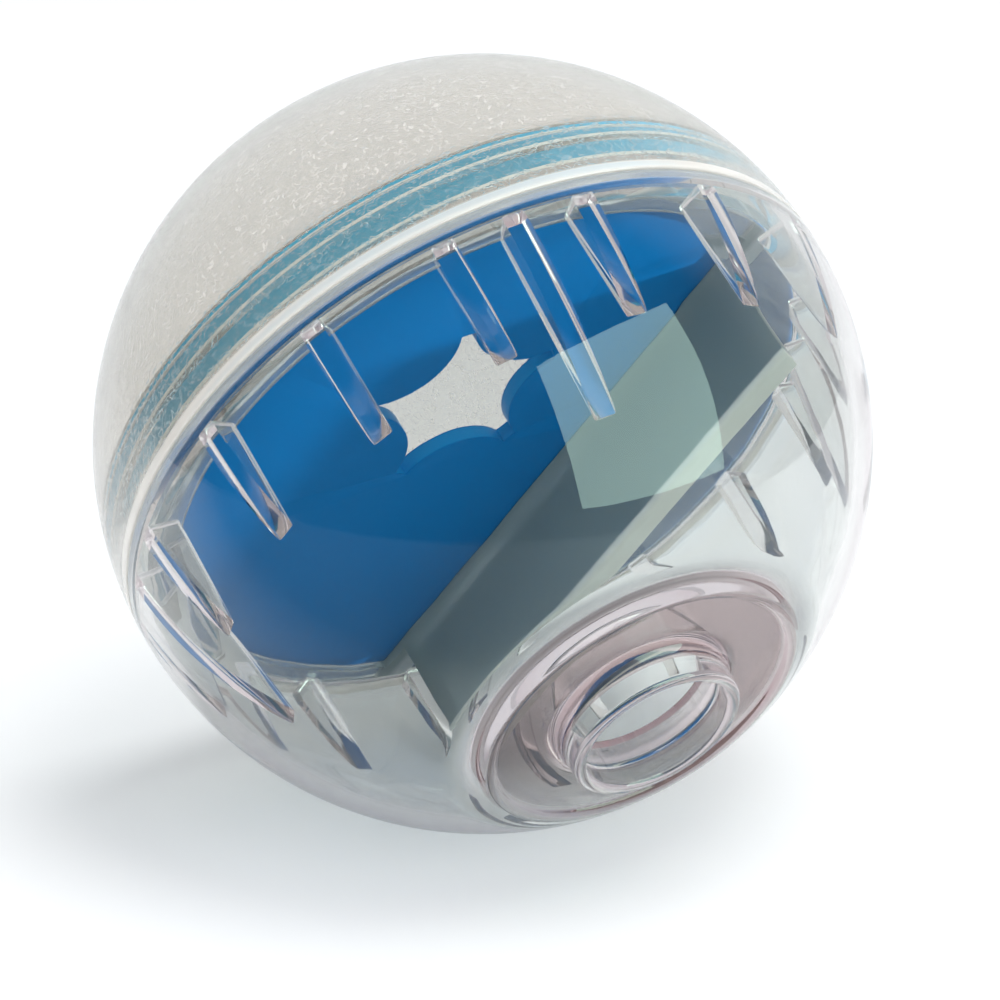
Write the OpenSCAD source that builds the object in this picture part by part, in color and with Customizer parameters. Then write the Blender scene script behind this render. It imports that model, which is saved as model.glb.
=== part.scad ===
// Treat ball: two half shells that screw together round a star disc and a divider.
// The ball lies with its exit hole facing the front and turned down, its centre at the origin.
// Every piece is drawn upright, seam at z = 0 and exit downwards, and is then laid over as one.

/* [Ball] */
// Outer diameter of the ball
ball_d = 102; // [98:1:110]
// Wall of both half shells
wall = 2.2; // [1.8:0.1:2.8]
// Angle of the exit hole's axis below level, as the ball lies
lie_tilt = 30; // [0:1:40]

/* [Screw joint] */
// Height of the smooth half's neck above the seam
neck_h = 10; // [7:0.5:12]
// Wall of the neck
neck_wall = 1.8; // [1.4:0.1:2.4]
// Wall of the textured half's skirt at the seam
skirt_wall = 2.4; // [2.2:0.1:3]
// Clearance between the neck and the skirt, all round and at the neck's end
thread_gap = 0.3; // [0.2:0.05:0.5]
// Gap between the two halves at the seam
seam_gap = 0.2; // [0.1:0.05:0.4]

/* [Ribs and seat] */
// Depth of the rib tops below the seam, where the divider sits
seat_depth = 1.6; // [1.3:0.1:3]
// How far the rib tops reach in under the divider's ring
seat_reach = 1.2; // [0.8:0.1:2]
// Number of short ribs
rib_count = 16; // [8:1:20]
// Direction of the first short rib
rib_angle = -1.5; // [-6:0.5:6]
// Thickness of every rib
rib_t = 3; // [2:0.1:3.4]
// Depth below the seam where the short ribs run out into the wall
rib_end_depth = 18.8; // [16:0.1:22]
// Number of long ribs
long_rib_count = 4; // [2:1:4]
// Depth below the seam where the long ribs run out into the wall
long_rib_end_depth = 28.4; // [25:0.1:32]
// How far the long ribs stand in from the short ones at the seat
long_rib_extra = 0.5; // [0.2:0.1:1]
// Extra wall just below the short ribs, which leaves a fine step round the shell
step_t = 0.2; // [0.1:0.05:0.5]
// How far the inside below the step is centred towards the exit, which thins the wall again
thin_shift = 0.8; // [0.4:0.1:1.4]

/* [Exit] */
// Diameter of the exit hole
exit_d = 20; // [16:0.5:22]
// Diameter of the sunken land round the exit
land_d = 44; // [40:0.5:48]
// Depth of the land below its rim
land_sink = 1; // [0.6:0.1:1.6]
// Wall of the exit collar
collar_wall = 1.8; // [1.4:0.1:2.4]
// Distance of the collar's lip inside the ball's outer surface
collar_inset = 0.5; // [0.2:0.1:1.5]
// Radius of the fillet where the collar meets the land
collar_fillet = 2.2; // [1:0.1:2.6]
// Radius of the fillet at the outer edge of the land
land_fillet = 0.9; // [0.4:0.1:1.2]

/* [Star disc] */
// Thickness of the disc's floor
disc_t = 2.2; // [1.6:0.1:3]
// Wall of the disc's upstanding rim
disc_rim_t = 1.8; // [1.2:0.1:2.4]
// Height of the rim above the end of the neck
disc_rim_above = 1.5; // [0:0.5:3]
// Number of points on the star hole
star_points = 5; // [4:1:7]
// Distance from the star's centre to its points
star_r = 13.6; // [11:0.1:15.5]
// Distance from the star's centre to the middle of its hollow sides
star_waist_r = 8.2; // [7:0.1:9]
// Width of the blunt end of each point
star_tip_w = 2; // [1:0.1:3]
// Distance of the star's centre from the ball's axis
star_offset = 12; // [9:0.5:16]
// Direction of the star from the ball's axis
star_angle = 238; // [215:1:262]
// Turn of the star about its own centre
star_turn = 21; // [0:1:72]

/* [Divider] */
// Clearance round the divider and the star disc inside the neck
insert_gap = 0.3; // [0.2:0.05:0.5]
// Gap between the faces that are stacked on the seat
stack_gap = 0.2; // [0.1:0.05:0.3]
// Thickness of the divider's ring and plate
plate_t = 1.2; // [0.8:0.1:1.6]
// Width of the divider's ring
ring_w = 2.3; // [1.6:0.1:3]
// Thickness of the divider's wall
divider_t = 4; // [2.5:0.1:5]
// Distance of the wall's near face from the ball's axis
divider_offset = 13.5; // [8:0.5:16]
// Depth of the wall's lower edge below the seam
divider_depth = 17.5; // [13:0.5:19]
// Distance of the wall's two ends from the ball's axis
divider_end_r = 40; // [36:0.5:40.5]
// Radius on the lower edges of the wall
divider_round = 0.8; // [0.4:0.1:1.2]
// Direction that the wall faces, seen from the textured half
divider_angle = 22.5; // [0:0.5:50]

/* [Hidden] */
$fn = 128;

// The shells: radii of the wall, the skirt's bore and the neck that screws into it.
ball_r = ball_d / 2;
shell_in_r = ball_r - wall;
skirt_bore_r = ball_r - skirt_wall;
neck_out_r = skirt_bore_r - thread_gap;
neck_in_r = neck_out_r - neck_wall;
skirt_bore_h = neck_h + thread_gap;

// What drops into the neck: the divider's ring on the rib tops, then the star disc on the ring.
insert_r = neck_in_r - insert_gap;
ring_in_r = insert_r - ring_w;
ring_z = -seat_depth + stack_gap;
disc_z = ring_z + plate_t + stack_gap;
disc_rim_z = neck_h + disc_rim_above;

// The ribs: their inner edges run from the seat to where they meet the wall.
rib_seat_r = insert_r - seat_reach;
rib_end_r = in_wall_r(shell_in_r, rib_end_depth);
lower_in_r = sqrt(pow(rib_end_r, 2) + pow(rib_end_depth - thin_shift, 2)) - step_t;
long_rib_seat_r = rib_seat_r - long_rib_extra;
long_rib_end_r = in_wall_r(lower_in_r, long_rib_end_depth - thin_shift);
rib_root = wall / 2;
long_rib_angle = rib_angle - 180 / rib_count;

// The exit: levels are distances from the ball's centre along the exit axis.
exit_r = exit_d / 2;
land_r = land_d / 2;
rim_level = in_wall_r(ball_r, land_r);
land_level = rim_level - land_sink;
land_in_level = land_level - wall;
collar_tip_level = ball_r - collar_inset;
lip_r = collar_wall / 2;
collar_r = exit_r + collar_wall;
lip_level = collar_tip_level - lip_r;

// The star: each hollow side is an arc that passes through two points and the waist.
star_pitch = 360 / star_points;
star_side_angle = star_pitch / 2 - asin(star_tip_w / 2 / star_r);
star_sagitta = star_r * cos(star_side_angle) - star_waist_r;
star_half_chord = star_r * sin(star_side_angle);
star_side_r = (pow(star_half_chord, 2) + pow(star_sagitta, 2)) / (2 * star_sagitta);

// Distance from the axis to a sphere's wall at a given distance from its centre.
function in_wall_r(sphere_r, depth) = sqrt(pow(sphere_r, 2) - pow(depth, 2));

// Lays the upright ball over, with its exit to the front and down.
module lie() rotate([lie_tilt - 90, 0, 0]) children();

// A block of the half plane right of the axis, between two heights, out to a radius.
module band(low, high, from_r, to_r) translate([from_r, low]) square([to_r - from_r, high - low]);

// A hollow corner fillet of the given radius: its corner is at the origin, it fills +x and -y.
module fillet_corner(radius) {
    difference() {
        translate([0, -radius]) square(radius);
        translate([radius, -radius]) circle(radius);
    }
}

// Half section of the smooth half's spherical wall, down to the exit's rim.
module smooth_wall_section() {
    difference() {
        intersection() {
            circle(ball_r);
            band(-rim_level, 0, 0, ball_r);
        }
        intersection() {
            circle(shell_in_r);
            band(-rib_end_depth, 0, 0, ball_r);
        }
        intersection() {
            translate([0, -thin_shift]) circle(lower_in_r);
            band(-ball_r, -rib_end_depth, 0, ball_r);
        }
    }
}

// Half section of the thick shoulder at the seam and of the neck above it.
module neck_section() {
    intersection() {
        circle(ball_r);
        band(-seat_depth, 0, neck_in_r, ball_r);
    }
    band(-seat_depth, neck_h, neck_in_r, neck_out_r);
}

// Half section of the exit: a sunken land with a round-lipped collar in its middle.
module exit_section() {
    band(-land_level, -land_in_level, exit_r, land_r);
    intersection() {
        circle(ball_r - wall / 2);
        band(-land_level, -land_in_level, exit_r, ball_r);
    }
    band(-lip_level, -land_in_level, exit_r, collar_r);
    translate([exit_r + lip_r, -lip_level]) circle(lip_r);
    translate([collar_r, -land_level]) fillet_corner(collar_fillet);
    translate([land_r, -land_level]) mirror([1, 0]) fillet_corner(land_fillet);
}

// The hollow that the land makes in the wall.
module land_hollow_section() band(-ball_r, -land_level, 0, land_r);

module smooth_shell() {
    rotate_extrude() {
        difference() {
            smooth_wall_section();
            land_hollow_section();
            band(-ball_r, 0, 0, exit_r);
        }
        neck_section();
        exit_section();
    }
}

// A ring of radial ribs: count of them, each from the seat down to end_depth.
module rib_ring(count, first_angle, seat_r, end_r, end_depth) {
    intersection() {
        rotate_extrude() intersection() {
            circle(shell_in_r + rib_root);
            polygon([
                [seat_r, -seat_depth],
                [end_r, -end_depth],
                [ball_r, -end_depth],
                [ball_r, -seat_depth]
            ]);
        }
        for (i = [0 : count - 1])
            rotate(first_angle + i * 360 / count)
                translate([0, -rib_t / 2, -ball_r]) cube([ball_r, rib_t, ball_r]);
    }
}

module smooth_half() {
    color("#e6e9ea", 0.35) lie() {
        smooth_shell();
        rib_ring(rib_count, rib_angle, rib_seat_r, rib_end_r, rib_end_depth);
        rib_ring(long_rib_count, long_rib_angle, long_rib_seat_r, long_rib_end_r, long_rib_end_depth);
    }
}

module textured_half() {
    color("#dcdad4", 0.5) lie() rotate_extrude() difference() {
        intersection() {
            circle(ball_r);
            band(seam_gap, ball_r, 0, ball_r);
        }
        intersection() {
            circle(shell_in_r);
            band(skirt_bore_h, ball_r, 0, ball_r);
        }
        band(0, skirt_bore_h, 0, skirt_bore_r);
    }
}

// Outline of the star hole about its own centre.
module star_outline() {
    difference() {
        circle(star_r);
        for (i = [0 : star_points - 1])
            rotate((i + 0.5) * star_pitch) translate([star_waist_r + star_side_r, 0]) circle(star_side_r);
    }
}

module star_disc() {
    color("#0f72b8") lie() difference() {
        translate([0, 0, disc_z]) cylinder(h = disc_rim_z - disc_z, r = insert_r);
        translate([0, 0, disc_z + disc_t]) cylinder(h = disc_rim_z, r = insert_r - disc_rim_t);
        rotate(star_angle) translate([star_offset, 0, disc_z - disc_t])
            rotate(star_turn) linear_extrude(3 * disc_t) star_outline();
    }
}

// Section across the divider's wall, with its two lower edges rounded.
module divider_section() {
    low = -divider_depth;
    translate([divider_offset, low + divider_round])
        square([divider_t, divider_depth - divider_round + ring_z + plate_t]);
    translate([divider_offset + divider_round, low]) square([divider_t - 2 * divider_round, divider_round]);
    for (x = [divider_round, divider_t - divider_round])
        translate([divider_offset + x, low + divider_round]) circle(divider_round);
}

module divider() {
    color("#d5ddd9", 0.7) lie() rotate(divider_angle) {
        translate([0, 0, ring_z]) linear_extrude(plate_t) difference() {
            circle(insert_r);
            intersection() {
                circle(ring_in_r);
                translate([-ball_r, -ball_r]) square([ball_r + divider_offset, 2 * ball_r]);
            }
        }
        intersection() {
            rotate([90, 0, 0]) linear_extrude(2 * ball_r, center = true) divider_section();
            translate([0, 0, -divider_depth]) cylinder(h = divider_depth, r = divider_end_r);
        }
    }
}

smooth_half();
textured_half();
star_disc();
divider();
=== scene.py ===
"""Treat ball: a clear and a frosted half screwed together, a blue star disc and a milky divider."""

import math

import bpy
from bpy.props import FloatProperty, FloatVectorProperty, IntProperty, PointerProperty
from mathutils import Matrix, Vector


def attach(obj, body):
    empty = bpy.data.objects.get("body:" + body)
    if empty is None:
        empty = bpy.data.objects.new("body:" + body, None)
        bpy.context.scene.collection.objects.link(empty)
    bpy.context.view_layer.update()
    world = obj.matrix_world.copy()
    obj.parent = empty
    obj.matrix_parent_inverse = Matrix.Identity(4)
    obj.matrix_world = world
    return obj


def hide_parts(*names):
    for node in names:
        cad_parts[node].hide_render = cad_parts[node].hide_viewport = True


bl_info = {
    "name": "Treat Ball",
    "version": (1, 0, 0),
    "blender": (4, 5, 0),
    "location": "3D View > Sidebar > Treat Ball",
    "description": "Builds a screw-together treat ball on its packed frame",
    "category": "Add Mesh",
}

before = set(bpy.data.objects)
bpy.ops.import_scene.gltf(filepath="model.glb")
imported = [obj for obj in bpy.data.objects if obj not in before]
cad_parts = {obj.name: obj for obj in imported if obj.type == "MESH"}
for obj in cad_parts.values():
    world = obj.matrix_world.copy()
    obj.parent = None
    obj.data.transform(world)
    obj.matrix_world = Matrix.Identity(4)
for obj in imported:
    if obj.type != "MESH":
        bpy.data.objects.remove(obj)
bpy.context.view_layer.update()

MM = 0.001
FULL_TURN = 2 * math.pi
SPIN_STEPS = 256
THREAD_STEPS = 160
DOUBLES = 0.002 * MM
CAMERA_PIXELS = 1000


def linear(hex_colour):
    """An sRGB hex value such as 0f72b8 as a linear colour."""
    shares = [int(hex_colour[i:i + 2], 16) / 255 for i in (0, 2, 4)]
    return tuple(s / 12.92 if s <= 0.04045 else ((s + 0.055) / 1.055) ** 2.4 for s in shares)


def length(label, about, millimetres):
    """A length, given in mm and held in metres."""
    return FloatProperty(name=label, description=about, default=millimetres * MM, unit="LENGTH",
                         precision=4)


def angle(label, about, degrees):
    """An angle, given in degrees."""
    return FloatProperty(name=label, description=about, default=math.radians(degrees), subtype="ANGLE")


def shade(label, about, hex_colour):
    """A colour, given as an sRGB hex value."""
    return FloatVectorProperty(name=label, description=about, default=linear(hex_colour), subtype="COLOR",
                               min=0, max=1)


class TreatBallShells(bpy.types.PropertyGroup):
    """Sizes of the two half shells and of the screw joint between them."""
    ball_radius: length("Ball radius", "Outer radius of both halves", 51)
    wall: length("Wall", "Wall of both halves", 2.2)
    lie_tilt: angle("Lie", "Angle of the exit's axis below level", 30)
    neck_height: length("Neck height", "Height of the neck above the seam", 10)
    neck_wall: length("Neck wall", "Wall of the neck", 1.8)
    skirt_wall: length("Skirt wall", "Wall of the frosted half at the seam", 2.4)
    thread_gap: length("Thread gap", "Clearance between neck and skirt", 0.3)
    seam_gap: length("Seam gap", "Gap between the halves", 0.2)
    thread_pitch: length("Thread pitch", "Rise of the thread in one turn", 3.6)
    thread_depth: length("Thread depth", "Height of the thread's ridge", 0.7)
    edge_round: length("Edge round", "Radius on the shells' free edges", 0.3)


class TreatBallRibs(bpy.types.PropertyGroup):
    """Sizes of the ribs inside the smooth half."""
    seat_depth: length("Seat depth", "Depth of the rib tops below the seam", 1.6)
    seat_radius: length("Seat radius", "Distance of the rib tops' inner ends from the axis", 45)
    short_count: IntProperty(name="Short ribs", description="Number of short ribs", default=16, min=1)
    long_count: IntProperty(name="Long ribs", description="Number of long ribs", default=4, min=1)
    thickness: length("Thickness", "Thickness of every rib", 3)
    short_end: length("Short end", "Depth where the short ribs run out", 18.8)
    long_end: length("Long end", "Depth where the long ribs run out", 28.4)
    long_extra: length("Long reach", "How far the long ribs stand in from the short ones", 0.5)
    first: angle("First rib", "Direction of the first short rib", -1.5)
    thin_shift: length(
        "Thinning", "How far the inside below the short ribs is centred towards the exit", 0.8)
    edge: length("Edge", "Radius on the ribs' edges", 0.3)


class TreatBallExit(bpy.types.PropertyGroup):
    """Sizes of the exit hole, its collar and the sunken land round it."""
    bore_radius: length("Hole radius", "Radius of the exit hole", 10)
    land_radius: length("Land radius", "Radius of the sunken land", 22)
    land_sink: length("Land depth", "Depth of the land below its rim", 1)
    collar_wall: length("Collar wall", "Wall of the collar", 1.8)
    collar_inset: length("Collar inset", "Distance of the lip inside the ball's surface", 0.5)
    collar_fillet: length("Collar fillet", "Fillet where the collar meets the land", 2.2)
    land_fillet: length("Land fillet", "Fillet at the outer edge of the land", 0.9)


class TreatBallInserts(bpy.types.PropertyGroup):
    """Sizes of the star disc and the divider."""
    radius: length("Radius", "Radius of the disc and of the divider's ring", 46.2)
    disc_level: length("Disc level", "Height of the disc's lower face above the seam", 0.0)
    disc_floor: length("Disc floor", "Thickness of the disc's floor", 2.2)
    disc_rim: length("Disc rim", "Wall of the disc's rim", 1.8)
    disc_top: length("Disc top", "Height of the rim's top above the seam", 11.5)
    star_points: IntProperty(name="Star points", description="Number of points of the star hole",
                             default=5, min=3)
    star_radius: length("Star radius", "Distance from the star's centre to its points", 13.6)
    star_waist: length("Star waist", "Distance from the star's centre to its hollow sides", 8.2)
    star_tip: length("Star tip", "Width of each blunt point", 2)
    star_offset: length("Star offset", "Distance of the star's centre from the axis", 12)
    star_angle: angle("Star angle", "Direction of the star from the axis", 238)
    star_turn: angle("Star turn", "Turn of the star about its own centre", 21)
    plate_level: length("Ring level", "Height of the divider ring's lower face", -1.4)
    plate: length("Ring thickness", "Thickness of the divider's ring and plate", 1.2)
    ring_width: length("Ring width", "Width of the divider's ring", 2.3)
    wall: length("Divider wall", "Thickness of the divider's wall", 4)
    wall_offset: length("Wall offset", "Distance of the wall's near face from the axis", 13.5)
    wall_depth: length("Wall depth", "Depth of the wall's lower edge below the seam", 17.5)
    wall_end: length("Wall ends", "Distance of the wall's ends from the axis", 40)
    wall_round: length("Wall round", "Radius on the wall's lower edges", 0.8)
    wall_angle: angle("Wall angle", "Direction that the wall faces", 22.5)
    edge: length("Edge", "Radius on the moulded edges", 0.3)


class TreatBallColours(bpy.types.PropertyGroup):
    """Colours of the four mouldings and of the stage."""
    clear: shade("Clear shell", "Clear plastic, seen through its thin wall", "f0f4f2")
    # Partly the mauve of thick plastic, partly painted shade that deepens towards the land's top.
    clear_land_tint_and_shade: shade("Clear shell, land", "Clear plastic of the thick land round the exit", "bcacac")
    clear_depth: shade("Clear shell, deep", "What thick clear plastic lets through", "e4d2d5")
    frosted: shade("Frosted shell", "Grained clear plastic between its marks", "ece9e3")
    frosted_mark: shade("Frosted shell, marks", "Raised marks of the grain", "fffbf4")
    blue: shade("Star disc", "Blue moulded plastic", "0072b8")
    blue_light: shade("Star disc, light", "Paler flow marks in the blue", "007ac2")
    # Painted glow: the hole's walls and the rim are paler blues for light shining through thin plastic.
    blue_hole_glow: shade("Star disc, hole", "Blue of the star hole's thin walls", "208ed0")
    blue_rim_glow: shade("Star disc, rim", "Blue of the thin rim", "40bae6")
    milky_ring: shade("Divider, ring", "Milky plastic of the thin ring", "e8eff0")
    # Painted shade: this darker grey is the divider wall's near face; its far face takes the ring's colour.
    milky: shade("Divider", "Milky natural plastic", "90a5a9")
    # Painted glow along the divider wall's lower edge.
    milky_edge_glow: shade("Divider, edge", "Glow of the wall's lower edge", "f0f5ee")
    floor: shade("Floor", "White table", "f7f8f8")
    # Painted reflection: the table's colour in the ball's mirror images, dark as a dim room.
    floor_painted_reflection: shade("Floor, mirrored", "White table as the ball's wall mirrors it", "50565a")


def deselect_all():
    """Leaves edit mode and clears the selection."""
    if bpy.context.object and bpy.context.object.mode != "OBJECT":
        bpy.ops.object.mode_set(mode="OBJECT")
    bpy.ops.object.select_all(action="DESELECT")


def make_active(piece):
    """Selects one piece alone and makes it the active one."""
    deselect_all()
    piece.select_set(True)
    bpy.context.view_layer.objects.active = piece


def arc(centre_r, centre_z, radius, start_deg, end_deg, steps):
    """Points on an arc of a half section, both ends included."""
    turn = [math.radians(start_deg + (end_deg - start_deg) * i / steps) for i in range(steps + 1)]
    return [(centre_r + radius * math.cos(a), centre_z + radius * math.sin(a)) for a in turn]


def eased(start, bend, end, steps):
    """Points of a soft curve between two points that turns at a third, ends left out."""
    shares = [i / steps for i in range(1, steps)]
    return [tuple(a * (1 - t) ** 2 + 2 * b * t * (1 - t) + c * t ** 2
                  for a, b, c in zip(start, bend, end)) for t in shares]


def across(sphere_radius, level):
    """Distance from the axis to a sphere's wall at a level above or below its centre."""
    return math.sqrt(sphere_radius ** 2 - level ** 2)


def degrees_at(sphere_radius, level):
    """Angle above the seam of a sphere's wall at a level."""
    return math.degrees(math.asin(level / sphere_radius))


def draw_line(name, points):
    """Starts from one point and extrudes it along the points, and stays in edit mode with all selected."""
    deselect_all()
    bpy.ops.mesh.primitive_plane_add(size=MM, location=(0, 0, 0))
    piece = bpy.context.object
    piece.name = name
    piece.data.name = name
    bpy.ops.object.mode_set(mode="EDIT")
    bpy.ops.mesh.select_all(action="SELECT")
    bpy.ops.mesh.merge(type="CENTER")
    bpy.ops.transform.translate(value=points[0])
    for here, there in zip(points, points[1:]):
        bpy.ops.mesh.extrude_region_move(TRANSFORM_OT_translate={"value": Vector(there) - Vector(here)})
    bpy.ops.mesh.select_all(action="SELECT")
    return piece


def close_up(piece):
    """Merges doubles, turns the faces outwards and leaves edit mode."""
    bpy.ops.mesh.select_all(action="SELECT")
    bpy.ops.mesh.remove_doubles(threshold=DOUBLES)
    bpy.ops.mesh.normals_make_consistent(inside=False)
    bpy.ops.object.mode_set(mode="OBJECT")
    return piece


def turned(name, section):
    """A piece turned on the axis from a half section of (distance from axis, height) points."""
    piece = draw_line(name, [(r, 0, z) for r, z in section])
    bpy.ops.mesh.spin(steps=SPIN_STEPS, angle=FULL_TURN, center=(0, 0, 0), axis=(0, 0, 1))
    return close_up(piece)


def slab(name, outline, thickness):
    """A slab with an outline of points, pulled out by a vector."""
    piece = draw_line(name, list(outline) + [outline[0]])
    bpy.ops.mesh.remove_doubles(threshold=DOUBLES)
    bpy.ops.mesh.select_all(action="SELECT")
    bpy.ops.mesh.edge_face_add()
    bpy.ops.mesh.extrude_region_move(TRANSFORM_OT_translate={"value": thickness})
    return close_up(piece)


def bevelled(piece, width, segments=3, angle=35):
    """Rounds the sharp edges of a piece."""
    make_active(piece)
    bpy.ops.object.modifier_add(type="BEVEL")
    bevel = piece.modifiers[-1]
    bevel.width = width
    bevel.segments = segments
    bevel.limit_method = "ANGLE"
    bevel.angle_limit = math.radians(angle)
    bevel.use_clamp_overlap = True
    bpy.ops.object.modifier_apply(modifier=bevel.name)
    return piece


def combined(piece, tool, operation):
    """Joins, cuts or trims a piece with a tool piece, which is used up."""
    make_active(piece)
    bpy.ops.object.modifier_add(type="BOOLEAN")
    boolean = piece.modifiers[-1]
    boolean.operation = operation
    boolean.solver = "EXACT"
    boolean.object = tool
    bpy.ops.object.modifier_apply(modifier=boolean.name)
    if not piece.data.polygons:
        raise RuntimeError(f"{piece.name} came out empty")
    bpy.data.objects.remove(tool)
    return piece


def ring_of(pattern, count, first):
    """Copies a piece round the axis, each copy with its own mesh, and joins them all."""
    copies = [pattern]
    for i in range(1, count):
        make_active(pattern)
        bpy.ops.object.duplicate()
        copy = bpy.context.object
        copy.rotation_euler = (0, 0, FULL_TURN * i / count)
        copies.append(copy)
    deselect_all()
    for copy in copies:
        copy.select_set(True)
    bpy.context.view_layer.objects.active = pattern
    bpy.ops.object.transform_apply(location=True, rotation=True, scale=True)
    bpy.ops.object.join()
    pattern.rotation_euler = (0, 0, first)
    bpy.ops.object.transform_apply(location=True, rotation=True, scale=True)
    return pattern


def finished(piece, tilt, material, body, smooth_deg=32):
    """Lays an upright piece as the ball lies, shades it, gives it its finish and hangs it on its body."""
    make_active(piece)
    piece.rotation_euler = (tilt - math.pi / 2, 0, 0)
    bpy.ops.object.transform_apply(location=True, rotation=True, scale=True)
    bpy.ops.object.shade_smooth_by_angle(angle=math.radians(smooth_deg))
    piece.data.materials.clear()
    piece.data.materials.append(material)
    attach(piece, body)
    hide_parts(body)
    deselect_all()
    return piece


def add_node(tree, kind, inputs=None, **settings):
    """Adds a node, sets it up, and sets or links its inputs."""
    node = tree.nodes.new(kind)
    for key, value in settings.items():
        setattr(node, key, value)
    for key, value in (inputs or {}).items():
        if isinstance(value, bpy.types.NodeSocket):
            tree.links.new(value, node.inputs[key])
        else:
            node.inputs[key].default_value = value
    return node


def new_material(name):
    """An empty node material and its output."""
    material = bpy.data.materials.new(name)
    material.use_nodes = True
    material.node_tree.nodes.clear()
    return material, material.node_tree, material.node_tree.nodes.new("ShaderNodeOutputMaterial")


def opaque(colour):
    """A colour with full alpha, as sockets take it."""
    return (*colour, 1.0)


def lying(point, lie_tilt):
    """A point or direction of the upright ball, as the ball lies."""
    return tuple(Matrix.Rotation(lie_tilt - math.pi / 2, 3, "X") @ Vector(point))


def depth_and_reach(tree, lie_tilt, centre=(0.0, 0.0, 0.0)):
    """Sockets for the depth below the seam and for the distance from the axis through an upright centre."""
    where = add_node(tree, "ShaderNodeTexCoord")
    down = lying((0.0, 0.0, -1.0), lie_tilt)
    place = add_node(tree, "ShaderNodeVectorMath",
                     {0: where.outputs["Object"], 1: lying(centre, lie_tilt)}, operation="SUBTRACT")
    depth = add_node(tree, "ShaderNodeVectorMath",
                     {0: place.outputs["Vector"], 1: down}, operation="DOT_PRODUCT")
    foot = add_node(tree, "ShaderNodeVectorMath",
                    {0: down, "Scale": depth.outputs["Value"]}, operation="SCALE")
    reach = add_node(tree, "ShaderNodeVectorMath",
                     {0: place.outputs["Vector"], 1: foot.outputs["Vector"]}, operation="DISTANCE")
    return depth.outputs["Value"], reach.outputs["Value"]


POLYCARBONATE_IOR = 1.585
POLYPROPYLENE_IOR = 1.49
LET_THROUGH = (0.88, 0.89, 0.89, 1.0)
WHITE = (1.0, 1.0, 1.0, 1.0)


def maths(tree, operation, *values, **settings):
    """The result of a Math node for numbers or sockets."""
    node = add_node(tree, "ShaderNodeMath", dict(enumerate(values)), operation=operation, **settings)
    return node.outputs["Value"]


def ramp(tree, value, low, high, start=0.0, end=1.0, **settings):
    """A value mapped from low and high onto start and end, and held there beyond them."""
    inputs = {"Value": value, "From Min": low, "From Max": high, "To Min": start, "To Max": end}
    return add_node(tree, "ShaderNodeMapRange", inputs, **settings).outputs["Result"]


def blend(tree, share, first, second):
    """A mix of two colours, each given as a colour or a socket."""
    ends = [end if isinstance(end, bpy.types.NodeSocket) else opaque(end) for end in (first, second)]
    inputs = {"Factor": share, "A": ends[0], "B": ends[1]}
    return add_node(tree, "ShaderNodeMix", inputs, data_type="RGBA").outputs["Result"]


def between(tree, share, first, second):
    """A mix of two numbers, each given as a number or a socket."""
    return add_node(tree, "ShaderNodeMix", {"Factor": share, "A": first, "B": second}).outputs["Result"]


def along(tree, where, direction):
    """How far a place lies along a direction."""
    inputs = {0: where, 1: tuple(direction)}
    return add_node(tree, "ShaderNodeVectorMath", inputs, operation="DOT_PRODUCT").outputs["Value"]


def noise(tree, where, size, **inputs):
    """Noise with features of a size."""
    node = add_node(tree, "ShaderNodeTexNoise", {"Vector": where, "Scale": 1 / size, **inputs})
    return node.outputs["Fac"]


def bump(tree, height, strength, distance):
    """A normal that follows a relief."""
    inputs = {"Height": height, "Strength": strength, "Distance": distance}
    return add_node(tree, "ShaderNodeBump", inputs).outputs["Normal"]


def let_by(tree, passes, plastic, output):
    """Lets the rays that pass a clear plastic through it, a little dimmed."""
    clear = add_node(tree, "ShaderNodeBsdfTransparent", {"Color": LET_THROUGH})
    mix = add_node(tree, "ShaderNodeMixShader",
                   {0: passes, 1: plastic.outputs["BSDF"], 2: clear.outputs["BSDF"]})
    tree.links.new(mix.outputs["Shader"], output.inputs["Surface"])


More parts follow.
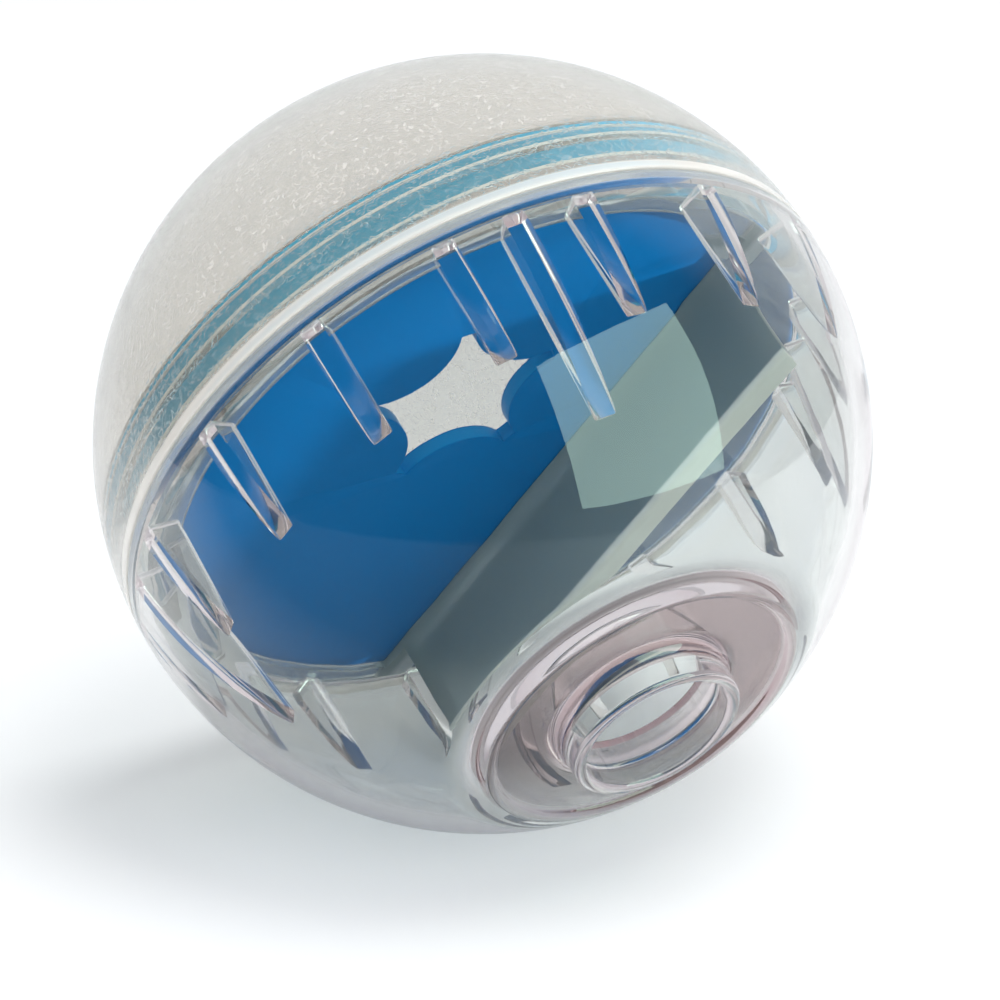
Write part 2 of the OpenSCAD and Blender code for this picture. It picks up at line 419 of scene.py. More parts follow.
def clear_polycarbonate(colours, shells, exit_sizes):
    """Clear polycarbonate from a polished mould: bright sharp reflections, slight flow waves that bend what
    is seen through it, and a faint mauve where the light runs a long way in it, as at the ribs' edges and
    the land. The thread's crests are made white as painted highlights, the neck's end is made white, a
    narrow band under the seam is matt, and the land, moulded thick, is mauve, partly its own tint and
    partly painted shade that is deepest towards its top. Light that has gone round in the wall for long is
    let out."""
    material, tree, output = new_material("Polished clear polycarbonate")
    where = add_node(tree, "ShaderNodeTexCoord").outputs["Object"]
    flow = noise(tree, where, 14 * MM, Detail=2.0, Roughness=0.45)
    haze = ramp(tree, flow, 0.3, 0.7, 0.008, 0.03)
    wave = bump(tree, flow, 0.35, 0.12 * MM)
    depth, reach = depth_and_reach(tree, shells.lie_tilt)

    # Painted highlights: the thread's crests are made white; the neck's end is made white too.
    crest_radius, neck_top = neck_radii(shells)[0], -shells.neck_height
    crest = ramp(tree, reach, crest_radius - 0.12 * MM, crest_radius - 0.03 * MM)
    on_neck = maths(tree, "LESS_THAN", depth, -0.4 * MM)
    neck_end = ramp(tree, depth, neck_top + 0.5 * MM, neck_top + 0.3 * MM)
    white_crests_and_end = maths(tree, "MAXIMUM", maths(tree, "MULTIPLY", crest, on_neck), neck_end)
    band_half, band_matt = 0.8 * MM, 0.26
    in_band = maths(tree, "COMPARE", depth, band_half, band_half)
    outer = maths(tree, "GREATER_THAN", reach, shells.ball_radius - 1.2 * MM)
    band = maths(tree, "MULTIPLY", maths(tree, "MULTIPLY", in_band, outer), band_matt)
    clarity = ramp(tree, maths(tree, "MAXIMUM", white_crests_and_end, band), 0.0, 1.0, 1.0, 0.1)

    collar, land = exit_sizes.bore_radius + exit_sizes.collar_wall, exit_sizes.land_radius
    by_exit = maths(tree, "COMPARE", reach, (land + collar) / 2, (land - collar) / 2)
    deep = maths(tree, "GREATER_THAN", depth, 0.8 * shells.ball_radius)
    # Painted shade: the land's tint is weakest low down and deepest towards its top.
    height = add_node(tree, "ShaderNodeSeparateXYZ", {"Vector": where}).outputs["Z"]
    land_top_shade = ramp(tree, height, -40 * MM, -22 * MM, 0.35, 1.15)
    thick = maths(tree, "MULTIPLY", maths(tree, "MULTIPLY", by_exit, deep), land_top_shade, use_clamp=True)

    plastic = add_node(tree, "ShaderNodeBsdfPrincipled", {
        "Base Color": blend(tree, thick, colours.clear, colours.clear_land_tint_and_shade), "Roughness": haze,
        "IOR": POLYCARBONATE_IOR, "Transmission Weight": clarity, "Normal": wave})
    path = add_node(tree, "ShaderNodeLightPath")
    long_way = maths(tree, "GREATER_THAN", path.outputs["Ray Depth"], 5.5)
    let_by(tree, maths(tree, "MAXIMUM", path.outputs["Is Shadow Ray"], long_way), plastic, output)
    tint = add_node(tree, "ShaderNodeVolumeAbsorption",
                    {"Color": opaque(colours.clear_depth), "Density": 44.0})
    tree.links.new(tint.outputs["Volume"], output.inputs["Volume"])
    return material


def grained_polycarbonate(colours, shells):
    """Clear polycarbonate from a mould with a spark-eroded grain outside and polished inside: short
    worm-like marks that scatter the light to a pale warm grey, drawn a little coarser than real ones, to
    show. The skirt is clearer, so that what is behind it shows, and a plain band along the rim has a
    painted glow, standing in for the light that runs down in the wall."""
    ball_radius, wall = shells.ball_radius, shells.wall
    material, tree, output = new_material("Grained clear polycarbonate")
    where = add_node(tree, "ShaderNodeTexCoord").outputs["Object"]
    from_centre = add_node(tree, "ShaderNodeVectorMath", {0: where}, operation="LENGTH").outputs["Value"]
    outside = ramp(tree, from_centre, ball_radius - 0.6 * wall, ball_radius - 0.2 * wall)
    depth, _ = depth_and_reach(tree, shells.lie_tilt)
    rim = ramp(tree, depth, -1.8 * MM, -1.5 * MM)

    mark_size, mark_width = 1.0 * MM, 0.046
    lines = noise(tree, where, mark_size, Detail=1.0, Roughness=0.4, Distortion=0.6)
    off_line = maths(tree, "ABSOLUTE", maths(tree, "SUBTRACT", lines, 0.5))
    worm = ramp(tree, off_line, 0.0, mark_width, 1.0, 0.0, interpolation_type="SMOOTHSTEP")
    keep = ramp(tree, noise(tree, where, mark_size, Detail=0.0), 0.38, 0.46)
    grained = maths(tree, "SUBTRACT", outside, rim, use_clamp=True)
    grain = maths(tree, "MULTIPLY", maths(tree, "MULTIPLY", worm, keep), grained)

    dome_clarity, dome_mark, skirt_clarity, skirt_mark, rim_clarity = 0.88, 0.65, 0.975, 0.84, 0.48
    skirt_top = -shells.neck_height - 1.5 * MM, -shells.neck_height
    plain = ramp(tree, depth, *skirt_top, dome_clarity, skirt_clarity)
    marked = ramp(tree, depth, *skirt_top, dome_mark, skirt_mark)
    # Painted glow: along the rim the pale mark colour and lower clarity stand in for light in the wall.
    clarity = between(tree, rim, ramp(tree, grain, 0.0, 1.0, plain, marked), rim_clarity)
    light = maths(tree, "MAXIMUM", grain, rim)
    plastic = add_node(tree, "ShaderNodeBsdfPrincipled", {
        "Base Color": blend(tree, light, colours.frosted, colours.frosted_mark),
        "Roughness": ramp(tree, outside, 0.0, 1.0, 0.03, 0.1), "IOR": POLYCARBONATE_IOR,
        "Transmission Weight": clarity, "Normal": bump(tree, grain, 0.5, 0.06 * MM)})
    path = add_node(tree, "ShaderNodeLightPath")
    let_by(tree, path.outputs["Is Shadow Ray"], plastic, output)
    return material


def blue_polypropylene(colours, inserts, lie_tilt):
    """Blue polypropylene from a fine matt mould: an even strong blue with soft wide highlights, faint paler
    flow marks some centimetres long, and a fine skin that breaks the gloss. The rim and the walls of the
    star hole are painted paler, a painted glow for the light that shines through what is thin."""
    material, tree, output = new_material("Moulded blue polypropylene")
    where = add_node(tree, "ShaderNodeTexCoord").outputs["Object"]
    flow = noise(tree, where, 22 * MM, Detail=3.0, Roughness=0.5)
    body = blend(tree, flow, colours.blue, colours.blue_light)
    depth, from_star = depth_and_reach(tree, lie_tilt, star_centre(inserts))
    _, from_axis = depth_and_reach(tree, lie_tilt)

    # Painted glow: the star hole's walls and the rim get paler blues.
    floor_middle = -inserts.disc_level - inserts.disc_floor / 2
    in_floor = maths(tree, "COMPARE", depth, floor_middle, 0.42 * inserts.disc_floor)
    near_star = maths(tree, "LESS_THAN", from_star, inserts.star_radius + 1 * MM)
    hole_wall_glow = maths(tree, "MULTIPLY", in_floor, near_star)
    outer_wall = maths(tree, "GREATER_THAN", from_axis, inserts.radius - 0.6 * MM)
    above_floor = maths(tree, "LESS_THAN", depth, -inserts.disc_level - inserts.disc_floor)
    rim_wall_glow = maths(tree, "MULTIPLY", outer_wall, above_floor)
    with_hole = blend(tree, hole_wall_glow, body, colours.blue_hole_glow)

    skin = noise(tree, where, 0.5 * MM, Detail=2.0)
    plastic = add_node(tree, "ShaderNodeBsdfPrincipled", {
        "Base Color": blend(tree, rim_wall_glow, with_hole, colours.blue_rim_glow),
        "Roughness": ramp(tree, skin, 0.0, 1.0, 0.26, 0.42), "IOR": POLYPROPYLENE_IOR,
        "Specular IOR Level": 0.1, "Normal": bump(tree, skin, 0.15, 0.03 * MM)})
    tree.links.new(plastic.outputs["BSDF"], output.inputs["Surface"])
    return material


def milky_polypropylene(colours, inserts, lie_tilt):
    """Natural polypropylene, moulded without pigment: hazy, so that what lies behind it shows only as soft
    shades. The wall's near face is painted with shade as a darker grey and its far face is paler, and a
    green-white glow is painted along its lower edge, for the light that runs down in the wall and comes
    out there. The thin ring and plate are clearer."""
    material, tree, output = new_material("Natural polypropylene")
    where = add_node(tree, "ShaderNodeTexCoord").outputs["Object"]
    cloud = noise(tree, where, 9 * MM, Detail=3.0)
    haze = ramp(tree, cloud, 0.0, 1.0, 0.3, 0.5)
    depth, _ = depth_and_reach(tree, lie_tilt)
    facing = lying((math.cos(inserts.wall_angle), math.sin(inserts.wall_angle), 0.0), lie_tilt)
    across_wall = along(tree, where, facing)

    near, wall = inserts.wall_offset, inserts.wall
    # Painted shade: the wall's near face takes the darker grey, its far face the paler ring colour.
    far_side = ramp(tree, across_wall, near + 0.3 * wall, near + 0.6 * wall)
    sides = blend(tree, far_side, colours.milky, colours.milky_ring)
    under_plate = ramp(tree, depth, 1.5 * MM, 2.5 * MM)
    in_wall = maths(tree, "COMPARE", across_wall, near + wall / 2, wall / 2 + 0.5 * MM)
    below = maths(tree, "MAXIMUM", under_plate, in_wall)
    # Painted glow along the wall's lower edge: a paler colour and less clarity.
    edge = ramp(tree, depth, inserts.wall_depth - 1.4 * MM, inserts.wall_depth - 1.0 * MM)
    face = blend(tree, below, colours.milky_ring, sides)

    plate_clarity, wall_clarity, edge_clarity, plate_haze = 0.88, 0.7, 0.15, 0.12
    clarity = between(tree, below, plate_clarity, ramp(tree, edge, 0.0, 1.0, wall_clarity, edge_clarity))
    plastic = add_node(tree, "ShaderNodeBsdfPrincipled", {
        "Base Color": blend(tree, edge, face, colours.milky_edge_glow),
        "Roughness": between(tree, below, plate_haze, haze), "IOR": POLYPROPYLENE_IOR,
        "Transmission Weight": clarity, "Normal": bump(tree, cloud, 0.1, 0.05 * MM)})
    tree.links.new(plastic.outputs["BSDF"], output.inputs["Surface"])
    return material


def wall_image(tree, path):
    """Socket that is 1 for what is seen as a single mirror image in the ball's wall."""
    mirrored = maths(tree, "COMPARE", path.outputs["Glossy Depth"], 1.0, 0.5)
    at_wall = maths(tree, "LESS_THAN", path.outputs["Transmission Depth"], 2.5)
    direct = maths(tree, "LESS_THAN", path.outputs["Diffuse Depth"], 0.5)
    return maths(tree, "MULTIPLY", maths(tree, "MULTIPLY", mirrored, at_wall), direct)


def plainly_seen(tree, path):
    """Socket that is 1 for what is seen directly or through clear plastic."""
    return maths(tree, "MAXIMUM", path.outputs["Is Camera Ray"], path.outputs["Is Transmission Ray"])


def white_table(colours, front):
    """Matt white laminate: an even white that only shadows darken. In the ball's mirror images its colour
    is painted dark from in front of the ball on, a painted reflection of a dim room there."""
    material, tree, output = new_material("Matt white laminate")
    where = add_node(tree, "ShaderNodeTexCoord").outputs["Object"]
    path = add_node(tree, "ShaderNodeLightPath")
    # Painted reflection: in single mirror images the table turns dark towards the front.
    room = ramp(tree, along(tree, where, front), -20 * MM, 90 * MM)
    dim = maths(tree, "MULTIPLY", wall_image(tree, path), room)
    sheet = add_node(tree, "ShaderNodeBsdfPrincipled", {
        "Base Color": blend(tree, dim, colours.floor, colours.floor_painted_reflection),
        "Roughness": ramp(tree, noise(tree, where, 2 * MM), 0.0, 1.0, 0.7, 0.8), "Specular IOR Level": 0.2})
    lift = maths(tree, "MULTIPLY", plainly_seen(tree, path), 0.06)
    white = add_node(tree, "ShaderNodeEmission", {"Color": WHITE, "Strength": lift})
    both = add_node(tree, "ShaderNodeAddShader", {0: sheet.outputs["BSDF"], 1: white.outputs["Emission"]})
    tree.links.new(both.outputs["Shader"], output.inputs["Surface"])
    return material


def neck_radii(shells):
    """Outer and inner radius of the neck, and the radius at the root of its thread."""
    outer = shells.ball_radius - shells.skirt_wall - shells.thread_gap
    return outer, outer - shells.neck_wall, outer - shells.thread_depth


def lower_sphere(shells, ribs):
    """Drop of the centre and radius of the sphere that hollows the smooth half below its short ribs."""
    reach = across(shells.ball_radius - shells.wall, ribs.short_end)
    return ribs.thin_shift, math.hypot(reach, ribs.short_end - ribs.thin_shift)


def smooth_section(shells, ribs, exit_sizes):
    """Half section of the smooth half, from the exit round the outside to the neck and back inside."""
    ball, edge = shells.ball_radius, shells.edge_round
    inner = ball - shells.wall
    shift, deep = lower_sphere(shells, ribs)
    bore, land = exit_sizes.bore_radius, exit_sizes.land_radius
    lip = exit_sizes.collar_wall / 2
    collar = bore + exit_sizes.collar_wall
    lip_level = ball - exit_sizes.collar_inset - lip
    land_level = across(ball, land) - exit_sizes.land_sink
    land_back = land_level - shells.wall
    fillet, corner = exit_sizes.collar_fillet, exit_sizes.land_fillet
    wall_in, rim_in, rim_out = 1.1 * MM, 0.5 * MM, 0.4 * MM
    blend_out, blend_in = 4 * MM, 3 * MM
    _, neck_in, root = neck_radii(shells)
    top = shells.neck_height

    points = [(bore, -land_back)]
    points += arc(bore + lip, -lip_level, lip, 180, 360, 16)
    points += arc(collar + fillet, -land_level - fillet, fillet, 180, 90, 10)
    points += arc(land - wall_in - corner, -land_level - corner, corner, 90, 25, 6)
    rim_angle = math.degrees(math.asin(across(ball, land + rim_out) / ball))
    sphere = arc(0, 0, ball, -rim_angle, -0.4, 80)
    points += eased(points[-1], (land - rim_in, -across(ball, land - rim_in)), sphere[0], 8)
    points += sphere
    points += arc(ball - edge, -edge, edge, 0, 90, 4)
    points += [(root, 0)]
    points += arc(root - edge, top - edge, edge, 0, 90, 4)
    points += arc(neck_in + edge, top - edge, edge, 90, 180, 4)
    points += arc(neck_in + edge, -ribs.seat_depth + edge, edge, 180, 270, 4)
    seat_end, rib_end = degrees_at(inner, -ribs.seat_depth), degrees_at(inner, -ribs.short_end)
    points += arc(0, 0, inner, seat_end, rib_end, 24)
    blend_level = across(deep, land + blend_out) + shift
    deep_start, deep_end = degrees_at(deep, shift - ribs.short_end), degrees_at(deep, shift - blend_level)
    points += arc(0, -shift, deep, deep_start, deep_end, 40)[1:]
    corner_r = across(deep, land_back - shift)
    points += eased(points[-1], (corner_r, -land_back), (corner_r - blend_in, -land_back), 12)
    points += [(corner_r - blend_in, -land_back), (bore, -land_back)]
    return points


def thread_ridge(shells):
    """The thread on the neck: one ridge that climbs from the seam to the neck's end."""
    crest, _, root = neck_radii(shells)
    half, flat, sunk = 0.75 * MM, 0.2 * MM, 0.4 * MM
    start = 1.4 * MM
    section = [(root - sunk, start - half), (root, start - half), (crest, start - flat),
               (crest, start + flat), (root, start + half), (root - sunk, start + half)]
    piece = draw_line("thread", [(r, 0, z) for r, z in section + section[:1]])
    bpy.ops.mesh.remove_doubles(threshold=DOUBLES)
    bpy.ops.object.mode_set(mode="OBJECT")
    turns = (shells.neck_height - 2.6 * MM) / shells.thread_pitch
    make_active(piece)
    bpy.ops.object.modifier_add(type="SCREW")
    screw = piece.modifiers[-1]
    screw.axis = "Z"
    screw.angle = FULL_TURN * turns
    screw.screw_offset = shells.thread_pitch * turns
    screw.steps = screw.render_steps = int(THREAD_STEPS * turns)
    screw.use_merge_vertices = False
    bpy.ops.object.modifier_apply(modifier=screw.name)
    bpy.ops.object.mode_set(mode="EDIT")
    bpy.ops.mesh.select_all(action="SELECT")
    bpy.ops.mesh.fill_holes(sides=8)
    return close_up(piece)


def rib_blank(name, ribs, shells, seat, end_depth, wall_points):
    """One rib: a slab whose inner edge runs straight from seat to wall, with its root inside the wall."""
    shift, sphere = lower_sphere(shells, ribs)
    end = across(sphere, end_depth - shift)
    half = ribs.thickness / 2
    root = shells.ball_radius - 0.55 * shells.wall
    span = end_depth - ribs.seat_depth
    depths = [ribs.seat_depth + span * i / wall_points for i in range(wall_points + 1)]
    outline = [(seat, -half, -ribs.seat_depth), (end, -half, -end_depth)]
    outline += [(across(root, d), -half, -d) for d in reversed(depths)]
    piece = slab(name, outline, (0, ribs.thickness, 0))
    return bevelled(piece, ribs.edge, segments=2, angle=40)


class TREATBALL_OT_smooth_half(bpy.types.Operator):
    """Adds the clear half: shell, neck with its thread, ribs, land and exit collar in one moulding"""
    bl_idname = "treat_ball.smooth_half"
    bl_label = "Smooth Half"

    def execute(self, context):
        scene = context.scene
        shells, ribs = scene.treat_ball_shells, scene.treat_ball_ribs
        piece = turned("clear_half", smooth_section(shells, ribs, scene.treat_ball_exit))
        combined(piece, thread_ridge(shells), "UNION")
        short = rib_blank("short_ribs", ribs, shells, ribs.seat_radius, ribs.short_end, 6)
        combined(piece, ring_of(short, ribs.short_count, ribs.first), "UNION")
        long_seat = ribs.seat_radius - ribs.long_extra
        long = rib_blank("long_ribs", ribs, shells, long_seat, ribs.long_end, 9)
        between_short = ribs.first - math.pi / ribs.short_count
        combined(piece, ring_of(long, ribs.long_count, between_short), "UNION")
        material = clear_polycarbonate(scene.treat_ball_colours, shells, scene.treat_ball_exit)
        finished(piece, shells.lie_tilt, material, "smooth_half")
        return {"FINISHED"}


class TREATBALL_OT_textured_half(bpy.types.Operator):
    """Adds the frosted half with the skirt that screws over the neck"""
    bl_idname = "treat_ball.textured_half"
    bl_label = "Textured Half"

    def execute(self, context):
        scene = context.scene
        shells = scene.treat_ball_shells
        ball, edge = shells.ball_radius, shells.edge_round
        inner = ball - shells.wall
        bore = ball - shells.skirt_wall
        low, high = shells.seam_gap, shells.neck_height + shells.thread_gap
        points = arc(0, 0, ball, 90, 0.8, 90)
        points += arc(ball - edge, low + edge, edge, 0, -90, 4)
        points += arc(bore + edge, low + edge, edge, -90, -180, 4)
        points += [(bore, high)]
        points += arc(0, 0, inner, degrees_at(inner, high), 90, 80)
        points[0] = (0, ball)
        points[-1] = (0, inner)
        piece = turned("frosted_half", points)
        material = grained_polycarbonate(scene.treat_ball_colours, shells)
        finished(piece, shells.lie_tilt, material, "textured_half")
        return {"FINISHED"}


def star_centre(inserts):
    """Place of the star's centre in the upright ball, at the seam's level."""
    return (inserts.star_offset * math.cos(inserts.star_angle),
            inserts.star_offset * math.sin(inserts.star_angle), 0.0)


def star_outline(inserts):
    """Points of the star hole about its own centre: hollow sides as arcs between blunt points."""
    pitch = FULL_TURN / inserts.star_points
    half_tip = math.asin(inserts.star_tip / 2 / inserts.star_radius)
    side = pitch / 2 - half_tip
    sag = inserts.star_radius * math.cos(side) - inserts.star_waist
    chord = inserts.star_radius * math.sin(side)
    side_radius = (chord ** 2 + sag ** 2) / (2 * sag)
    centre = inserts.star_waist + side_radius
    spread = math.asin(chord / side_radius)
    steps = 16
    points = []
    for i in range(inserts.star_points):
        middle = (i + 0.5) * pitch
        for j in range(steps + 1):
            a = middle + math.pi + spread - 2 * spread * j / steps
            points.append((centre * math.cos(middle) + side_radius * math.cos(a),
                           centre * math.sin(middle) + side_radius * math.sin(a)))
    return points


class TREATBALL_OT_star_disc(bpy.types.Operator):
    """Adds the blue tray with the star-shaped hole"""
    bl_idname = "treat_ball.star_disc"
    bl_label = "Star Disc"

    def execute(self, context):
        scene = context.scene
        inserts = scene.treat_ball_inserts
        edge = inserts.edge
        low, high = inserts.disc_level, inserts.disc_top
        floor = low + inserts.disc_floor
        rim = inserts.radius - inserts.disc_rim
        points = [(0, low)] + arc(inserts.radius - edge, low + edge, edge, -90, 0, 4)
        points += arc(inserts.radius - edge, high - edge, edge, 0, 90, 4)
        points += arc(rim + edge, high - edge, edge, 90, 180, 4)
        points += arc(rim - 2 * edge, floor + 2 * edge, 2 * edge, 0, -90, 5)
        points += [(0, floor)]
        piece = turned("star_tray", points)
        overcut = 2 * MM
        turn = inserts.star_turn + inserts.star_angle
        cos, sin = math.cos(turn), math.sin(turn)
        place = Vector(star_centre(inserts)) + Vector((0, 0, low - overcut))
        outline = [place + Vector((x * cos - y * sin, x * sin + y * cos, 0))
                   for x, y in star_outline(inserts)]
        cutter = slab("star_cutter", outline, (0, 0, inserts.disc_floor + 2 * overcut))
        combined(piece, cutter, "DIFFERENCE")
        bevelled(piece, edge, segments=3, angle=50)
        tilt = scene.treat_ball_shells.lie_tilt
        material = blue_polypropylene(scene.treat_ball_colours, inserts, tilt)
        finished(piece, tilt, material, "star_disc")
        return {"FINISHED"}


class TREATBALL_OT_divider(bpy.types.Operator):
    """Adds the milky divider: a ring with a flat segment and a wall below it"""
    bl_idname = "treat_ball.divider"
    bl_label = "Divider"

    def execute(self, context):
        scene = context.scene
        inserts = scene.treat_ball_inserts
        low = inserts.plate_level
        middle = low + inserts.plate / 2
        deselect_all()
        bpy.ops.mesh.primitive_cylinder_add(vertices=SPIN_STEPS, radius=inserts.radius,
                                            depth=inserts.plate, location=(0, 0, middle))
        piece = bpy.context.object
        piece.name = piece.data.name = "divider_ring"
        bpy.ops.object.transform_apply(location=True, rotation=True, scale=True)
        deselect_all()
        opening_radius = inserts.radius - inserts.ring_width
        bpy.ops.mesh.primitive_cylinder_add(vertices=SPIN_STEPS, radius=opening_radius,
                                            depth=4 * inserts.plate, location=(0, 0, middle))
        opening = bpy.context.object
        bpy.ops.object.transform_apply(location=True, rotation=True, scale=True)
        bpy.ops.object.mode_set(mode="EDIT")
        bpy.ops.mesh.select_all(action="SELECT")
        bpy.ops.mesh.bisect(plane_co=(inserts.wall_offset, 0, 0), plane_no=(1, 0, 0), use_fill=True,
                            clear_outer=True)
        close_up(opening)
        combined(piece, opening, "DIFFERENCE")
        near, far = inserts.wall_offset, inserts.wall_offset + inserts.wall
        curve = inserts.wall_round
        low_centre = curve - inserts.wall_depth
        section = arc(near + curve, low_centre, curve, 180, 270, 5)
        section += arc(far - curve, low_centre, curve, 270, 360, 5)
        section += [(far, middle), (near, middle)]
        reach = inserts.radius
        wall = slab("divider_wall", [(x, -reach, z) for x, z in section], (0, 2 * reach, 0))
        deselect_all()
        bpy.ops.mesh.primitive_cylinder_add(vertices=SPIN_STEPS, radius=inserts.wall_end,
                                            depth=4 * inserts.wall_depth, location=(0, 0, 0))
        trim = bpy.context.object
        combined(wall, trim, "INTERSECT")
        combined(piece, wall, "UNION")
        bevelled(piece, inserts.edge, segments=2, angle=50)
        make_active(piece)
        piece.rotation_euler = (0, 0, inserts.wall_angle)
        bpy.ops.object.transform_apply(location=True, rotation=True, scale=True)
        tilt = scene.treat_ball_shells.lie_tilt
        material = milky_polypropylene(scene.treat_ball_colours, inserts, tilt)
        finished(piece, tilt, material, "divider")
        return {"FINISHED"}


# The camera stands a little left of the exit and looks down on the ball
VIEW_AZIMUTH = math.radians(-30.86)
VIEW_DOWN = math.radians(21.5)
VIEW_DISTANCE = 0.765
FOCAL_PIXELS = 5843
BALL_RIGHT_PX, BALL_UP_PX = -17.1, 56.0
SENSOR_WIDTH = 36.0
BOUNCES, CLEAR_BOUNCES = 24, 32


def view_axes():
    """Right, up and towards-the-camera directions of the main view."""
    level = Vector((math.sin(VIEW_AZIMUTH), -math.cos(VIEW_AZIMUTH), 0))
    right = Vector((math.cos(VIEW_AZIMUTH), math.sin(VIEW_AZIMUTH), 0))
    towards = level * math.cos(VIEW_DOWN) + Vector((0, 0, math.sin(VIEW_DOWN)))
    up = level * -math.sin(VIEW_DOWN) + Vector((0, 0, math.cos(VIEW_DOWN)))
    return right, up, towards


def soft_light(name, place, width, height, radiance, colour):
    """A softbox that faces the ball, as bright as its radiance over white."""
    bpy.ops.object.light_add(type="AREA", location=place)
    lamp = bpy.context.object
    lamp.name = lamp.data.name = name
    lamp.data.shape = "RECTANGLE"
    lamp.data.size, lamp.data.size_y = width, height
    lamp.data.energy = radiance * math.pi * width * height
    lamp.data.color = colour
    lamp.rotation_euler = (Vector((0, 0, 0)) - place).to_track_quat("-Z", "Y").to_euler()
    lamp.visible_camera = False
    lamp.visible_transmission = False
    return lamp


def studio_lights(right, level):
    """A window that only mirrors in the ball, a softbox above, and a small lamp that grazes the disc alone,
    so that the divider's shadow falls on it."""
    window_place = right * 0.561 + level * 0.476 + Vector((0, 0, 0.315))
    window = soft_light("window_softbox", window_place, 0.70, 0.65, 4.1, (0.68, 0.98, 0.84))
    window.visible_diffuse = False
    key_place = right * 0.3 + level * 0.22 + Vector((0, 0, 0.9))
    key = soft_light("key_softbox", key_place, 0.46, 0.46, 8.6, (1.0, 0.99, 0.98))
    key.visible_glossy = False
    side = soft_light("side_softbox", right * 0.95 - level * 0.13, 0.06, 0.06, 1150.0, (1.0, 1.0, 1.0))
    side.visible_glossy = False
    side_lit = bpy.data.collections.new("lit_from_the_side")
    side_lit.objects.link(bpy.data.objects["star_tray"])
    side.light_linking.receiver_collection = side_lit


def pale_room(level):
    """The world: a pale room that lights the ball, white where it is seen, and in the ball's mirror images
    dim towards the camera."""
    world = bpy.data.worlds.new("Pale studio")
    world.use_nodes = True
    tree = world.node_tree
    tree.nodes.clear()
    path = add_node(tree, "ShaderNodeLightPath")
    where = add_node(tree, "ShaderNodeTexCoord").outputs["Generated"]
    height = add_node(tree, "ShaderNodeSeparateXYZ", {"Vector": where}).outputs["Z"]
    low_room, high_room, mirrored_room = (0.97, 0.98, 1.0), (0.74, 0.76, 0.8), (0.95, 0.98, 1.0, 1.0)
    room = blend(tree, ramp(tree, height, 0.05, 0.8), low_room, high_room)
    dimness = ramp(tree, along(tree, where, -level), 0.1, 0.8, 0.03, 0.95)
    lit = add_node(tree, "ShaderNodeBackground", {"Color": room, "Strength": 0.92})
    dim = add_node(tree, "ShaderNodeBackground", {"Color": mirrored_room, "Strength": dimness})
    white = add_node(tree, "ShaderNodeBackground", {"Color": WHITE, "Strength": 1.0})
    backdrop = add_node(tree, "ShaderNodeMixShader",
                        {0: plainly_seen(tree, path), 1: lit.outputs[0], 2: white.outputs[0]})
    mix = add_node(tree, "ShaderNodeMixShader",
                   {0: wall_image(tree, path), 1: backdrop.outputs["Shader"], 2: dim.outputs[0]})
    output = add_node(tree, "ShaderNodeOutputWorld")
    tree.links.new(mix.outputs["Shader"], output.inputs["Surface"])
    return world


def main_camera(right, up, towards):
    """The camera at the main view's angle, with the ball where the view has it."""
    scale = FOCAL_PIXELS / VIEW_DISTANCE
    place = towards * VIEW_DISTANCE - right * (BALL_RIGHT_PX / scale) - up * (BALL_UP_PX / scale)
    bpy.ops.object.camera_add(location=place)
    camera = bpy.context.object
    camera.name = camera.data.name = "main_camera"
    camera.rotation_euler = (-towards).to_track_quat("-Z", "Y").to_euler()
    camera.data.sensor_width = SENSOR_WIDTH
    camera.data.lens = SENSOR_WIDTH * FOCAL_PIXELS / CAMERA_PIXELS
    camera.data.clip_start = 0.01
    return camera


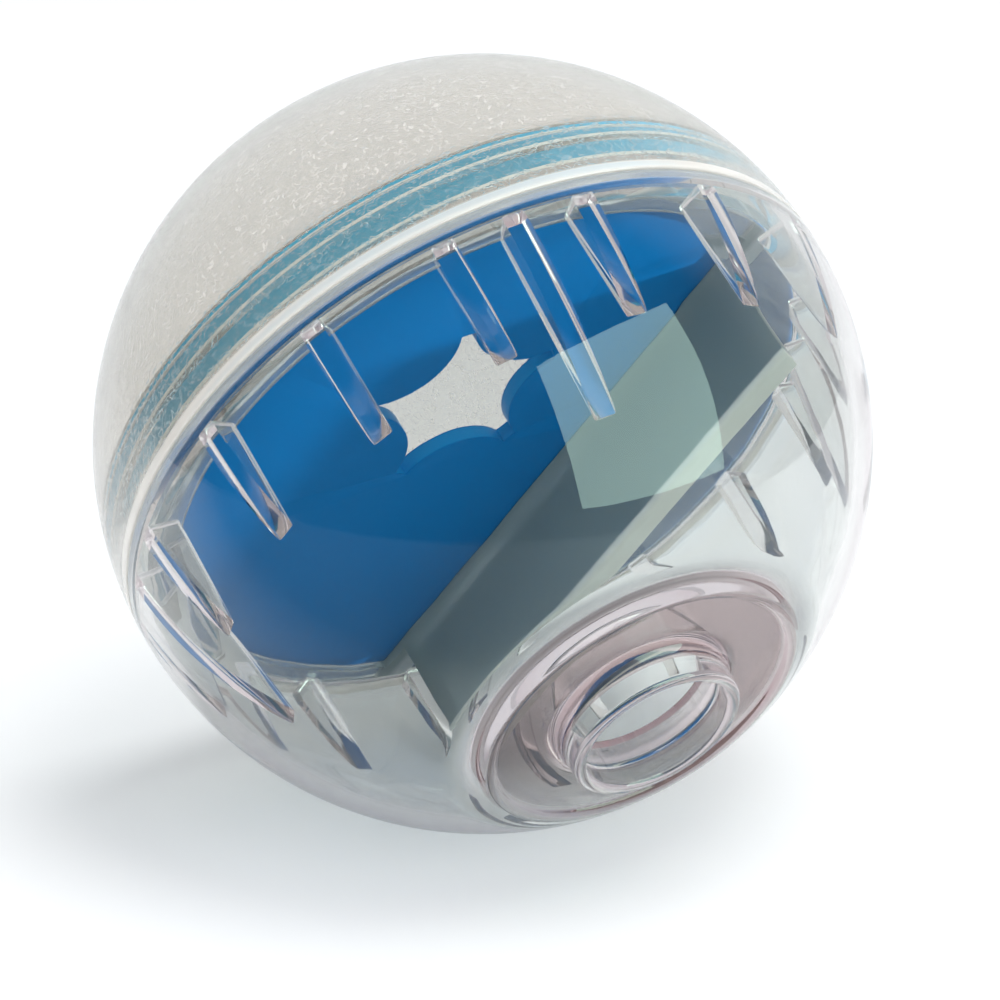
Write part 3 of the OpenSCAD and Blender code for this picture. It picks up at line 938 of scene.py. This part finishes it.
class TREATBALL_OT_stage(bpy.types.Operator):
    """Adds the white table, the soft lights, the pale surroundings and the camera"""
    bl_idname = "treat_ball.stage"
    bl_label = "Stage"

    def execute(self, context):
        scene = context.scene
        deselect_all()
        bpy.ops.mesh.primitive_circle_add(vertices=96, radius=0.5, fill_type="NGON", location=(0, 0, 0))
        floor = bpy.context.object
        floor.name = floor.data.name = "table"
        floor.location = (0, 0, -scene.treat_ball_shells.ball_radius)
        bpy.ops.object.transform_apply(location=True, rotation=True, scale=True)
        right, up, towards = view_axes()
        level = Vector((towards.x, towards.y, 0)).normalized()
        floor.data.materials.append(white_table(scene.treat_ball_colours, level))
        studio_lights(right, level)
        scene.world = pale_room(level)
        scene.camera = main_camera(right, up, towards)
        scene.view_settings.view_transform = "Standard"
        scene.cycles.max_bounces = BOUNCES
        scene.cycles.glossy_bounces = BOUNCES
        scene.cycles.transmission_bounces = BOUNCES
        scene.cycles.transparent_max_bounces = CLEAR_BOUNCES
        deselect_all()
        return {"FINISHED"}


class TREATBALL_PT_panel(bpy.types.Panel):
    """Lists the sizes, the colours and the pieces"""
    bl_label = "Treat Ball"
    bl_idname = "TREATBALL_PT_panel"
    bl_space_type = "VIEW_3D"
    bl_region_type = "UI"
    bl_category = "Treat Ball"

    def draw(self, context):
        for group in GROUPS:
            settings = getattr(context.scene, group)
            box = self.layout.box()
            for name in settings.__annotations__:
                box.prop(settings, name)
        for operator in OPERATORS:
            self.layout.operator(operator.bl_idname)


GROUPS = {
    "treat_ball_shells": TreatBallShells,
    "treat_ball_ribs": TreatBallRibs,
    "treat_ball_exit": TreatBallExit,
    "treat_ball_inserts": TreatBallInserts,
    "treat_ball_colours": TreatBallColours,
}
OPERATORS = (TREATBALL_OT_smooth_half, TREATBALL_OT_textured_half, TREATBALL_OT_star_disc,
             TREATBALL_OT_divider, TREATBALL_OT_stage)


def register():
    for name, group in GROUPS.items():
        bpy.utils.register_class(group)
        setattr(bpy.types.Scene, name, PointerProperty(type=group))
    for operator in OPERATORS:
        bpy.utils.register_class(operator)
    bpy.utils.register_class(TREATBALL_PT_panel)


def unregister():
    bpy.utils.unregister_class(TREATBALL_PT_panel)
    for operator in reversed(OPERATORS):
        bpy.utils.unregister_class(operator)
    for name, group in reversed(GROUPS.items()):
        delattr(bpy.types.Scene, name)
        bpy.utils.unregister_class(group)


def main():
    register()
    bpy.ops.treat_ball.smooth_half()
    bpy.ops.treat_ball.textured_half()
    bpy.ops.treat_ball.star_disc()
    bpy.ops.treat_ball.divider()
    bpy.ops.treat_ball.stage()


if __name__ == "__main__":
    main()
